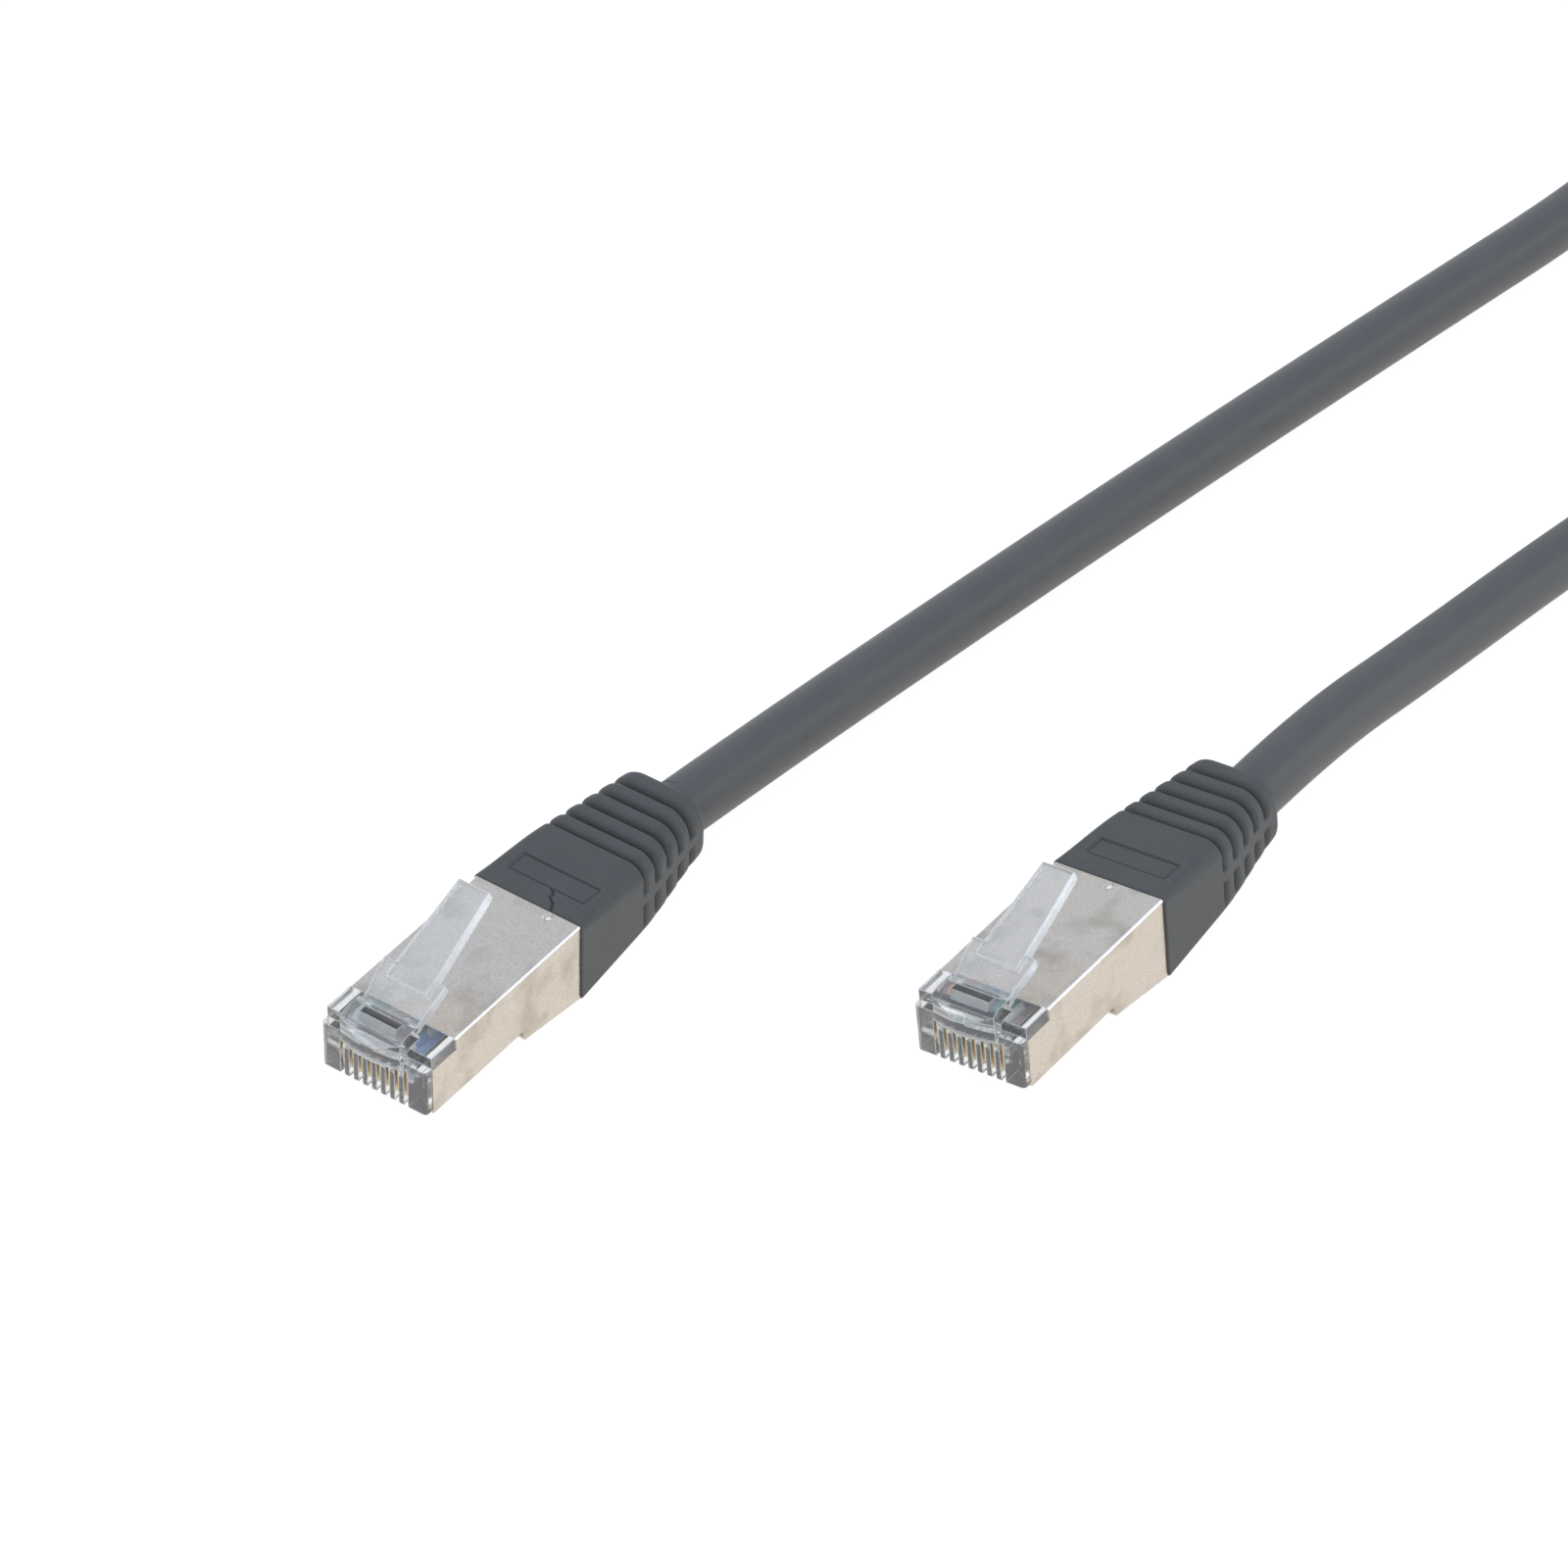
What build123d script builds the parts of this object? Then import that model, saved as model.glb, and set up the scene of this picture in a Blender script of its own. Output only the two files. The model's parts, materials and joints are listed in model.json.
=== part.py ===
from build123d import *
import os
from math import cos, pi, radians, sin, tan

os.makedirs("parts", exist_ok=True)

# Shielded ethernet patch cable, in millimetres, +Z up, lying on the plane z = 0.
# Each end is drawn once in its own plug frame: x across the plug, y from the nose
# face back towards the cable, z up from the surface, latch on top. The loop at the
# bottom places it twice. The origin is under the middle of boot A's flat underside.

# ---- plug housing, a standard eight-position modular plug
CONTACTS = 8
PITCH = 1.02
NOSE_WIDTH = 11.68
CORE_WIDTH = 11.30
NOSE_BOTTOM = 2.70
NOSE_TOP = 8.90
SHELF_Y = 0.90
SHELF_Z = 7.75
WINDOW_END = 4.30
SIDE_SHEET_TOP = 7.60
STEP_Y = 14.30
BODY_END = 21.50
FIT_GAP = 0.03

# ---- folded sheet-metal shield
SHIELD_WIDTH = 11.90
SHEET = 0.25
SHIELD_END = 22.70
STEP_Z = 1.30
SHIELD_END_Z = 0.20
FLANGE = 1.35

# ---- cable
CABLE_DIA = 6.0
CABLE_Z = 3.7
JACKET_FRONT = 21.90
CORE_END = 28.0
JACKET_BORE_R = 2.52
WIRE_DIA = 0.94
WIRE_ROW_Z = 6.0
WIRE_FRONT = 1.0
WIRE_RING_R = 1.5
FOIL_FRONT = 20.0
FOIL = 0.1
DRAIN_DIA = 0.34

# ---- hollows inside the housing
SLOT_START = 2.2
CHANNEL_HEIGHT = 1.0
CHANNEL_WIDTH = CONTACTS * PITCH + 0.1
CHANNEL_END = 8.3
BAR_Y = 8.0
BAR_Z = 4.85
BAR = (8.9, 3.3, 2.85)
BAR_CLEARANCE = 0.1
CAVITY_Y = 11.2
CAVITY_WIDTH = 8.8
CAVITY_TOP = 7.9
CAVITY_WALL = 0.75

# ---- contacts
BLADE = 0.32
SLOT = 0.46
BLADE_FRONT = 0.30
BLADE_END = 6.20
BLADE_BOTTOM = 3.35
BLADE_TOP = 5.05
TINE_TOP = 6.35
BLADE_NOSE_TOP = 6.60

# ---- latch
AXIS_Y = 2.70
AXIS_Z = 9.80
BARREL_R = 0.55
BARREL_GAP = 0.05
ROOT_WIDTH = 6.70
ROOT_TOP = 10.45
ROOT_REAR = 2.35
LIP_Y = -1.05
LIP_Z = 7.20
ARM_WIDTH = 6.20
SHOULDER_WIDTH = 6.80
SHOULDER = (6.15, 12.40)
TIP = (14.90, 16.40)
ARM_THICK = 0.95
TONGUE_THICK = 1.35
TONGUE_BASE = 4.40
TONGUE_TIP = 3.30
POCKET = (4.1, 0.8, 1.5)
LATCH_B_PRESSED = 5.0

# ---- boot
BOOT_END = 46.20
BOOT_FRONT_WIDTH = 12.40
BOOT_FRONT_TOP = 9.05
BOOT_FRONT_R = 0.60
BOOT_REAR_WIDTH = 9.80
BOOT_REAR_TOP = 7.40
BOOT_REAR_R = 2.80
BOOT_ROUND = 2.00
BOOT_TRIM = 0.20
GROOVES = 5
GROOVE_START = 33.20
GROOVE_PITCH = 2.32
GROOVE_WIDTH = 0.75
GROOVE_DEPTH = 0.75
WEB_HEIGHT = 1.30
WEB_SHARE = 0.54
LABEL = (8.70, 2.55)
LABEL_Y = 26.70
LABEL_DEPTH = 0.25
RING_START = 24.50
RING_END = 28.50
RING_R = CABLE_DIA / 2 + 0.03
RING_SHEET = 0.3
STRAP_WIDTH = 4.0
STRAP_START = 21.9
STRAP_END = 25.2
DIMPLE_X = {"a": 2.70, "b": 0.40}
DIMPLE_Y = 22.05

# ---- where the two plugs lie
PLUG_A_Y = -34.50
PLUG_B_X = 42.03
PLUG_B_Y = -1.43
PLUG_B_YAW = -1.17
PLUG_B_ROLL = -8.1

# ---- the cord's route outside the boots, one list from each boot to the coil
ROUTE_A = [
    (0.0, 11.7, 3.7),
    (1.2, 23.0, 3.6),
    (3.5, 44.0, 3.0),
    (8.2, 78.0, 3.0),
    (15.1, 123.0, 3.0),
    (19.5, 150.0, 3.0),
    (19.9, 164.5, 3.0),
    (13.9, 177.0, 3.0),
    (3.3, 187.0, 3.0),
]
ROUTE_B = [
    (42.452, 44.771, 4.458),
    (42.697, 56.768, 4.458),
    (44.3, 73.0, 3.0),
    (47.6, 97.0, 3.0),
    (53.5, 130.0, 3.0),
    (61.5, 167.0, 4.5),
    (68.9, 201.5, 9.0),
]

# ---- the coil that holds the rest of the cord, and its tie
COIL_X = 33.0
COIL_Y = 210.1
COIL_OUTER_R = 37.0
COIL_INNER_R = 29.0
COIL_LAYERS = 2
COIL_ROUND = 2.5
TIE_THICK = 0.5
TIE_WIDTH = 4.0
TIE_SINK = 0.9


def shield_floor(y):
    """Height of the shield's sloping underside behind its step."""
    fall = (STEP_Z - SHIELD_END_Z) / (SHIELD_END - STEP_Y)
    return STEP_Z - fall * (y - STEP_Y)


def contact_x(index):
    """Position across the plug of a contact and its wire, counted from 0."""
    return (index - (CONTACTS - 1) / 2) * PITCH


def make_latch_root():
    """Fixed block on the nose that carries the latch, with its pocket and hinge socket."""
    with BuildPart() as latch_root:
        with BuildSketch(Plane.YZ):
            with BuildLine():
                Polyline((0.9, ROOT_TOP), (ROOT_REAR, ROOT_TOP), (ROOT_REAR, 8.6), (0.6, 8.6),
                         (0.6, LIP_Z), (LIP_Y, LIP_Z), (LIP_Y, 8.2))
                Bezier((LIP_Y, 8.2), (LIP_Y, 9.8), (-0.2, ROOT_TOP), (0.9, ROOT_TOP))
            make_face()
        extrude(amount=ROOT_WIDTH / 2, both=True)
        with BuildSketch(Plane.XY.offset(LIP_Z)):
            with BuildLine():
                Polyline((-ROOT_WIDTH / 2, -0.4), (-ROOT_WIDTH / 2, 3), (ROOT_WIDTH / 2, 3),
                         (ROOT_WIDTH / 2, -0.4))
                ThreePointArc((-ROOT_WIDTH / 2, -0.4), (0, LIP_Y), (ROOT_WIDTH / 2, -0.4))
            make_face()
        extrude(amount=4, mode=Mode.INTERSECT)
        with BuildSketch(Plane.XY.offset(ROOT_TOP)):
            with Locations((0, 1.25)):
                Rectangle(POCKET[0], POCKET[1])
        extrude(amount=-POCKET[2], mode=Mode.SUBTRACT)
        with BuildSketch(Plane.YZ):
            with Locations((AXIS_Y, AXIS_Z)):
                Circle(BARREL_R + BARREL_GAP)
        extrude(amount=ROOT_WIDTH, both=True, mode=Mode.SUBTRACT)
    return latch_root.part


def make_plug_body():
    """Clear polycarbonate housing with contact slots, wire channel and cable cavity."""
    with BuildPart() as plug_body:
        with BuildSketch(Plane.YZ):
            with BuildLine():
                Polyline((0, NOSE_BOTTOM), (STEP_Y, NOSE_BOTTOM),
                         (STEP_Y, shield_floor(STEP_Y) + SHEET + FIT_GAP),
                         (BODY_END, shield_floor(BODY_END) + SHEET + FIT_GAP),
                         (BODY_END, NOSE_TOP - SHEET - FIT_GAP),
                         (SHELF_Y, NOSE_TOP - SHEET - FIT_GAP), (SHELF_Y, SHELF_Z),
                         (0, SHELF_Z), close=True)
            make_face()
        extrude(amount=CORE_WIDTH / 2, both=True)
        # the nose is full width where no sheet covers it
        with BuildSketch(Plane.YZ):
            with BuildLine():
                Polyline((0, NOSE_BOTTOM), (SHELF_Y - FIT_GAP, NOSE_BOTTOM),
                         (SHELF_Y - FIT_GAP, SIDE_SHEET_TOP + FIT_GAP),
                         (WINDOW_END - FIT_GAP, SIDE_SHEET_TOP + FIT_GAP),
                         (WINDOW_END - FIT_GAP, NOSE_TOP), (SHELF_Y, NOSE_TOP),
                         (SHELF_Y, SHELF_Z), (0, SHELF_Z), close=True)
            make_face()
        extrude(amount=NOSE_WIDTH / 2, both=True)
        posts = plug_body.edges().filter_by(Axis.Z).group_by(Axis.Y)[0]
        fillet(posts, radius=0.4)
        front_bottom = plug_body.edges().group_by(Axis.Z)[0].group_by(Axis.Y)[0]
        fillet(front_bottom, radius=0.25)
        add(make_latch_root())
        # a slot for each blade, open below, and a short one up the nose face
        channel_floor = WIRE_ROW_Z - CHANNEL_HEIGHT / 2
        slots = [(BLADE_END + 0.4, channel_floor), (1.2, BLADE_NOSE_TOP + 0.3)]
        for slot_length, slot_top in slots:
            with BuildSketch(Plane.XY.offset(SLOT_START)):
                with GridLocations(PITCH, 0, CONTACTS, 1):
                    Rectangle(SLOT, 2 * slot_length)
            extrude(amount=slot_top - SLOT_START, mode=Mode.SUBTRACT)
        # one flat channel for the row of wires, then the pocket of the load bar
        with Locations((0, SHELF_Y, WIRE_ROW_Z)):
            Box(CHANNEL_WIDTH, CHANNEL_END - SHELF_Y, CHANNEL_HEIGHT,
                align=(Align.CENTER, Align.MIN, Align.CENTER), mode=Mode.SUBTRACT)
        with Locations((0, BAR_Y, BAR_Z)):
            Box(*BAR, align=(Align.CENTER, Align.MIN, Align.MIN), mode=Mode.SUBTRACT)
        # the cavity behind the bar, where the pairs fan out from the cable
        with BuildSketch(Plane.YZ):
            with BuildLine():
                Polyline((CAVITY_Y, 4.2), (STEP_Y, 3.3), (15.6, shield_floor(15.6) + CAVITY_WALL),
                         (BODY_END + 1, shield_floor(BODY_END + 1) + CAVITY_WALL),
                         (BODY_END + 1, CAVITY_TOP), (CAVITY_Y, CAVITY_TOP - 0.2), close=True)
            make_face()
        extrude(amount=CAVITY_WIDTH / 2, both=True, mode=Mode.SUBTRACT)
    return plug_body.part


def make_latch():
    """Latch with its hinge barrel, wide arm, two shoulders and tapered tongue."""
    barrel_top = (AXIS_Y, AXIS_Z + BARREL_R)
    arm = Vector(SHOULDER[0] - barrel_top[0], SHOULDER[1] - barrel_top[1]).normalized()
    tongue = Vector(TIP[0] - SHOULDER[0], TIP[1] - SHOULDER[1]).normalized()
    arm_down = Vector(arm.Y, -arm.X)
    shoulder = Vector(*SHOULDER)
    length = (Vector(*TIP) - shoulder).length
    with BuildPart() as latch:
        with BuildSketch(Plane.YZ):
            with Locations((AXIS_Y, AXIS_Z)):
                Circle(BARREL_R)
            with BuildLine():
                Polyline(barrel_top, shoulder, shoulder + arm_down * ARM_THICK,
                         (AXIS_Y + 0.45, AXIS_Z - 0.3), (AXIS_Y, AXIS_Z), close=True)
            make_face()
        extrude(amount=SHOULDER_WIDTH / 2, both=True)
        with BuildSketch(Plane.XY.offset(AXIS_Z - 1)):
            with BuildLine():
                Polyline((-ARM_WIDTH / 2, 1), (ARM_WIDTH / 2, 1), (ARM_WIDTH / 2, AXIS_Y + 0.6),
                         (SHOULDER_WIDTH / 2, SHOULDER[0] - 0.6), (SHOULDER_WIDTH / 2, 8),
                         (-SHOULDER_WIDTH / 2, 8), (-SHOULDER_WIDTH / 2, SHOULDER[0] - 0.6),
                         (-ARM_WIDTH / 2, AXIS_Y + 0.6), close=True)
            make_face()
        extrude(amount=6, mode=Mode.INTERSECT)
        top_plane = Plane(origin=(0, SHOULDER[0], SHOULDER[1]), x_dir=(1, 0, 0),
                          z_dir=(0, -tongue.Y, tongue.X))
        with BuildSketch(top_plane):
            with BuildLine():
                Polyline((-TONGUE_BASE / 2, -1.5), (TONGUE_BASE / 2, -1.5),
                         (TONGUE_BASE / 2, 0), (TONGUE_TIP / 2, length),
                         (-TONGUE_TIP / 2, length), (-TONGUE_BASE / 2, 0), close=True)
            make_face()
        extrude(amount=-TONGUE_THICK)
        tip_edges = latch.edges().filter_by(Axis.X).sort_by(Axis.Y)[-2:]
        fillet(tip_edges, radius=0.35)
    return latch.part


def make_plug_shield(dimple_x):
    """Folded nickel-plated sheet: top, two sides, rear floor, crimp strap and ring."""
    floor_y = (STEP_Y, SHIELD_END)
    with BuildPart() as plug_shield:
        with Locations((0, WINDOW_END, NOSE_TOP)):
            Box(SHIELD_WIDTH, SHIELD_END - WINDOW_END, SHEET,
                align=(Align.CENTER, Align.MIN, Align.MAX))
        with BuildSketch(Plane.YZ.offset(SHIELD_WIDTH / 2 - SHEET)):
            with BuildLine():
                Polyline((SHELF_Y, NOSE_BOTTOM - SHEET), (STEP_Y, NOSE_BOTTOM - SHEET),
                         (STEP_Y, STEP_Z), (SHIELD_END, SHIELD_END_Z), (SHIELD_END, NOSE_TOP),
                         (WINDOW_END, NOSE_TOP), (WINDOW_END, SIDE_SHEET_TOP),
                         (SHELF_Y, SIDE_SHEET_TOP), close=True)
            make_face()
        extrude(amount=SHEET)
        mirror(about=Plane.YZ)
        with BuildSketch(Plane.YZ):
            with BuildLine():
                Polyline(*[(y, shield_floor(y)) for y in floor_y],
                         *[(y, shield_floor(y) + SHEET) for y in reversed(floor_y)], close=True)
            make_face()
        extrude(amount=SHIELD_WIDTH / 2, both=True)
        for side in (-1, 1):
            with Locations((side * (SHIELD_WIDTH - FLANGE) / 2, SHELF_Y, NOSE_BOTTOM - SHEET)):
                Box(FLANGE, STEP_Y - SHELF_Y, SHEET - FIT_GAP,
                    align=(Align.CENTER, Align.MIN, Align.MIN))
        folds = plug_shield.edges().filter_by(Axis.Y).group_by(Axis.Z)[-1]
        fillet(folds.group_by(Axis.X)[0] + folds.group_by(Axis.X)[-1], radius=0.3)
        # raised dimple beside the boot
        with BuildSketch(Plane.XY.offset(NOSE_TOP - SHEET / 2)):
            with Locations((dimple_x, DIMPLE_Y)):
                Circle(0.55)
        extrude(amount=SHEET / 2 + 0.22, taper=25)
        # strap from the roof down to the ring that is crimped round the jacket
        ring_top = CABLE_Z + RING_R
        with BuildSketch(Plane.YZ):
            with BuildLine():
                Polyline((STRAP_START, NOSE_TOP - SHEET), (STRAP_START + 0.5, NOSE_TOP - SHEET),
                         (STRAP_END, ring_top + SHEET), (STRAP_END, ring_top + 0.02), close=True)
            make_face()
        extrude(amount=STRAP_WIDTH / 2, both=True)
        with BuildSketch(Plane.XZ.offset(-RING_START)):
            with Locations((0, CABLE_Z)):
                Circle(RING_R + RING_SHEET)
                Circle(RING_R, mode=Mode.SUBTRACT)
        extrude(amount=-(RING_END - RING_START))
    return plug_shield.part


def make_contact(index):
    """Gold-plated blade with two tines that pierce its wire."""
    with BuildPart() as contact:
        with BuildSketch(Plane.YZ.offset(contact_x(index))) as blade:
            with BuildLine():
                Polyline((BLADE_FRONT, BLADE_BOTTOM), (BLADE_END, BLADE_BOTTOM),
                         (BLADE_END, BLADE_TOP), (5.45, BLADE_TOP), (5.15, TINE_TOP),
                         (4.85, BLADE_TOP), (2.75, BLADE_TOP), (2.45, TINE_TOP),
                         (2.15, BLADE_TOP), (0.55, BLADE_TOP), (0.55, BLADE_NOSE_TOP),
                         (BLADE_FRONT, BLADE_NOSE_TOP), close=True)
            make_face()
            fillet(blade.vertices().group_by(Axis.Y)[0], radius=0.5)
        extrude(amount=BLADE / 2, both=True)
    return contact.part


def make_wire(index):
    """Insulated conductor: in a row at the contacts, in a ring inside the cable."""
    x = contact_x(index)
    stagger = 0.5 if index % 2 else -0.5
    column = index // 2
    above = 1 if index % 2 else -1
    turn = radians(157.5 - 45 * column) * above
    ring_x = WIRE_RING_R * cos(turn)
    ring_z = CABLE_Z + WIRE_RING_R * sin(turn)
    with BuildPart() as wire:
        with BuildLine():
            path = FilletPolyline((x, WIRE_FRONT, WIRE_ROW_Z), (x, 11.4, WIRE_ROW_Z),
                                  (x, 13.2, WIRE_ROW_Z + stagger), (ring_x, 19.8, ring_z),
                                  (ring_x, CORE_END - 0.2, ring_z), radius=1.0)
        with BuildSketch(Plane(path @ 0, z_dir=path % 0)):
            Circle(WIRE_DIA / 2)
        sweep(path=path)
    return wire.part


def make_load_bar():
    """Grooved comb that holds the eight wires at the contact pitch."""
    with BuildPart() as load_bar:
        with Locations((0, BAR_Y + BAR_CLEARANCE, BAR_Z + BAR_CLEARANCE / 2)):
            Box(BAR[0] - 2 * BAR_CLEARANCE, BAR[1] - 3 * BAR_CLEARANCE, 0.95,
                align=(Align.CENTER, Align.MIN, Align.MIN))
        with BuildSketch(Plane.XZ.offset(-BAR_Y)):
            with Locations((0, WIRE_ROW_Z)):
                with GridLocations(PITCH, 0, CONTACTS, 1):
                    Circle(WIRE_DIA / 2 + 0.02)
        extrude(amount=-BAR[1], mode=Mode.SUBTRACT)
    return load_bar.part


def make_foil_screen():
    """Aluminium foil screen round the four pairs."""
    inner = WIRE_RING_R + WIRE_DIA / 2 + 0.04
    with BuildPart() as foil_screen:
        with BuildSketch(Plane.XZ.offset(-FOIL_FRONT)):
            with Locations((0, CABLE_Z)):
                Circle(inner + FOIL)
                Circle(inner, mode=Mode.SUBTRACT)
        extrude(amount=-(CORE_END - 0.2 - FOIL_FRONT))
    return foil_screen.part


def make_drain_wire():
    """Bare drain wire, run out along the foil and folded back over the jacket."""
    low = CABLE_Z + JACKET_BORE_R - 0.21
    high = CABLE_Z + CABLE_DIA / 2 + 0.20
    fold_y = JACKET_FRONT - 1.0
    with BuildPart() as drain_wire:
        with BuildLine():
            path = FilletPolyline((0, CORE_END - 0.3, low), (0, fold_y, low), (0, fold_y, high),
                                  (0, RING_START - 0.2, high), radius=0.4)
        with BuildSketch(Plane(path @ 0, z_dir=path % 0)):
            Circle(DRAIN_DIA / 2)
        sweep(path=path)
    return drain_wire.part


def make_jacket_end():
    """Length of cable held inside the boot, bored where the foil and pairs show."""
    with BuildPart() as jacket_end:
        with BuildSketch(Plane.XZ.offset(-JACKET_FRONT)):
            with Locations((0, CABLE_Z)):
                Circle(CABLE_DIA / 2)
        extrude(amount=-(BOOT_END - JACKET_FRONT))
        with BuildSketch(Plane.XZ.offset(-JACKET_FRONT)):
            with Locations((0, CABLE_Z)):
                Circle(JACKET_BORE_R)
        extrude(amount=-(CORE_END - JACKET_FRONT), mode=Mode.SUBTRACT)
    return jacket_end.part


def make_boot_block(inset):
    """Tapering block, sharp at the plug and round at the cable, drawn in by inset."""
    sections = [
        (SHIELD_END, BOOT_FRONT_WIDTH, BOOT_FRONT_TOP, BOOT_FRONT_R),
        (BOOT_END, BOOT_REAR_WIDTH, BOOT_REAR_TOP, BOOT_REAR_R),
    ]
    with BuildPart() as block:
        for y, width, height, corner in sections:
            with BuildSketch(Plane.XZ.offset(-y)):
                with Locations((0, (height - BOOT_TRIM) / 2)):
                    RectangleRounded(width - 2 * inset, height + BOOT_TRIM - 2 * inset,
                                     max(corner - inset, 0.2))
        loft()
        # trimmed to the true flat that the plug lies on
        split(bisect_by=Plane.XY, keep=Keep.TOP)
    return block.part


def make_groove_cutter():
    """Five rings outside the boot's core, parted at each side by a lengthwise web."""
    with BuildPart() as cutter:
        for index in range(GROOVES):
            y = GROOVE_START + index * GROOVE_PITCH
            with Locations((0, y, BOOT_FRONT_TOP / 2)):
                Box(2 * BOOT_FRONT_WIDTH, GROOVE_WIDTH, 2 * BOOT_FRONT_TOP)
        add(make_boot_block(GROOVE_DEPTH), mode=Mode.SUBTRACT)
        for index in range(GROOVES):
            y = GROOVE_START + index * GROOVE_PITCH
            share = (y - SHIELD_END) / (BOOT_END - SHIELD_END)
            height = BOOT_FRONT_TOP + share * (BOOT_REAR_TOP - BOOT_FRONT_TOP)
            with Locations((0, y, height * WEB_SHARE)):
                Box(3 * BOOT_FRONT_WIDTH, GROOVE_PITCH, WEB_HEIGHT, mode=Mode.SUBTRACT)
        # the underside stays flat and ungrooved
        with Locations((0, (SHIELD_END + BOOT_END) / 2, 0)):
            Box(3 * BOOT_FRONT_WIDTH, BOOT_END, 2.0, mode=Mode.SUBTRACT)
    return cutter.part


def make_boot():
    """Overmoulded strain relief boot."""
    with BuildPart() as boot:
        add(make_boot_block(0))
        fillet(boot.faces().sort_by(Axis.Y)[-1].edges(), radius=BOOT_ROUND)
        add(make_groove_cutter(), mode=Mode.SUBTRACT)
        # shallow blank label panel pressed into the sloping roof
        fall = (BOOT_FRONT_TOP - BOOT_REAR_TOP) / (BOOT_END - SHIELD_END)
        label_z = BOOT_FRONT_TOP - fall * (LABEL_Y - SHIELD_END)
        with BuildSketch(Plane(origin=(0, LABEL_Y, label_z), x_dir=(1, 0, 0), z_dir=(0, fall, 1))):
            Rectangle(*LABEL)
        extrude(amount=-LABEL_DEPTH, mode=Mode.SUBTRACT)
        with BuildSketch(Plane.XZ.offset(-SHIELD_END)):
            with Locations((0, CABLE_Z)):
                Circle(CABLE_DIA / 2 + 0.02)
        extrude(amount=-(BOOT_END - SHIELD_END), mode=Mode.SUBTRACT)
        with BuildSketch(Plane.XZ.offset(-SHIELD_END)):
            with Locations((0, CABLE_Z)):
                Circle(RING_R + RING_SHEET + 0.02)
        extrude(amount=-(RING_END + 0.1 - SHIELD_END), mode=Mode.SUBTRACT)
        # room for the strap that runs down to the ring
        with BuildSketch(Plane.YZ):
            with BuildLine():
                Polyline((SHIELD_END, 6.4), (SHIELD_END, 8.60), (STRAP_END + 0.2, 7.1),
                         (STRAP_END + 0.2, 6.4), close=True)
            make_face()
        extrude(amount=STRAP_WIDTH / 2 + 0.05, both=True, mode=Mode.SUBTRACT)
    return boot.part


def corner_radii(route):
    """One radius for each corner, as large as its two runs allow."""
    points = [Vector(*point) for point in route]
    radii = []
    for before, corner, after in zip(points, points[1:], points[2:]):
        turn = (corner - before).get_angle(after - corner)
        shorter = min((corner - before).length, (after - corner).length)
        radii.append(0.45 * shorter / tan(radians(turn) / 2))
    return radii


def make_cable_run(route):
    """One stretch of cord from a boot to the coil."""
    with BuildPart() as cable_run:
        with BuildLine():
            path = FilletPolyline(*route, radius=corner_radii(route))
        with BuildSketch(Plane(path @ 0, z_dir=path % 0)):
            Circle(CABLE_DIA / 2)
        sweep(path=path)
    section = pi * CABLE_DIA ** 2 / 4
    print("radii", [round(radius, 1) for radius in corner_radii(route)])
    print("length", round(path.length, 2), "volume", round(cable_run.part.volume, 1),
          "section x length", round(section * path.length, 1))
    return cable_run.part


def make_cable_coil():
    """Outer shape of the coil that holds the rest of the cord."""
    with BuildPart() as cable_coil:
        with BuildSketch(Plane.XY):
            with Locations((COIL_X, COIL_Y)):
                Circle(COIL_OUTER_R + CABLE_DIA / 2)
                Circle(COIL_INNER_R - CABLE_DIA / 2, mode=Mode.SUBTRACT)
        extrude(amount=COIL_LAYERS * CABLE_DIA)
        fillet(cable_coil.edges(), radius=COIL_ROUND)
    return cable_coil.part


def make_coil_tie():
    """Flat wire tie closed round the coil's turns on the side away from the plugs."""
    middle = COIL_Y + (COIL_OUTER_R + COIL_INNER_R) / 2
    across = COIL_OUTER_R - COIL_INNER_R + CABLE_DIA - TIE_SINK
    height = COIL_LAYERS * CABLE_DIA + TIE_THICK
    with BuildPart() as coil_tie:
        with BuildSketch(Plane.YZ.offset(COIL_X - TIE_WIDTH / 2)):
            with Locations((middle, height / 2)):
                RectangleRounded(across + 2 * TIE_THICK, height, COIL_ROUND + TIE_THICK)
                RectangleRounded(across, height - 2 * TIE_THICK, COIL_ROUND, mode=Mode.SUBTRACT)
        extrude(amount=TIE_WIDTH)
    return coil_tie.part


def write(part, name):
    """Label a finished piece and write its STEP file."""
    part.label = name
    export_step(part, f"parts/{name}.step")


plug_pieces = {
    "plug_body": make_plug_body(),
    "latch": make_latch(),
    "load_bar": make_load_bar(),
    "foil_screen": make_foil_screen(),
    "drain_wire": make_drain_wire(),
    "jacket_end": make_jacket_end(),
    "boot": make_boot(),
}
for number in range(CONTACTS):
    plug_pieces[f"contact_{number + 1}"] = make_contact(number)
    plug_pieces[f"wire_{number + 1}"] = make_wire(number)

# plug A lies flat; plug B is rolled by the stiff cord on to one edge of its boot
roll = radians(PLUG_B_ROLL)
yaw = radians(PLUG_B_YAW)
boot_edge = BOOT_FRONT_WIDTH / 2 - BOOT_FRONT_R
plug_b_z = boot_edge * sin(-roll) + BOOT_FRONT_R * (1 - cos(roll))
plug_places = {
    "a": Plane(origin=(0, PLUG_A_Y, 0)),
    "b": Plane(
        origin=(PLUG_B_X, PLUG_B_Y, plug_b_z),
        x_dir=(cos(roll) * cos(yaw), cos(roll) * sin(yaw), -sin(roll)),
        z_dir=(sin(roll) * cos(yaw), sin(roll) * sin(yaw), cos(roll)),
    ),
}
hinge_axis = Axis((0, AXIS_Y, AXIS_Z), (-1, 0, 0))
pressed = {"a": 0.0, "b": LATCH_B_PRESSED}
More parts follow.
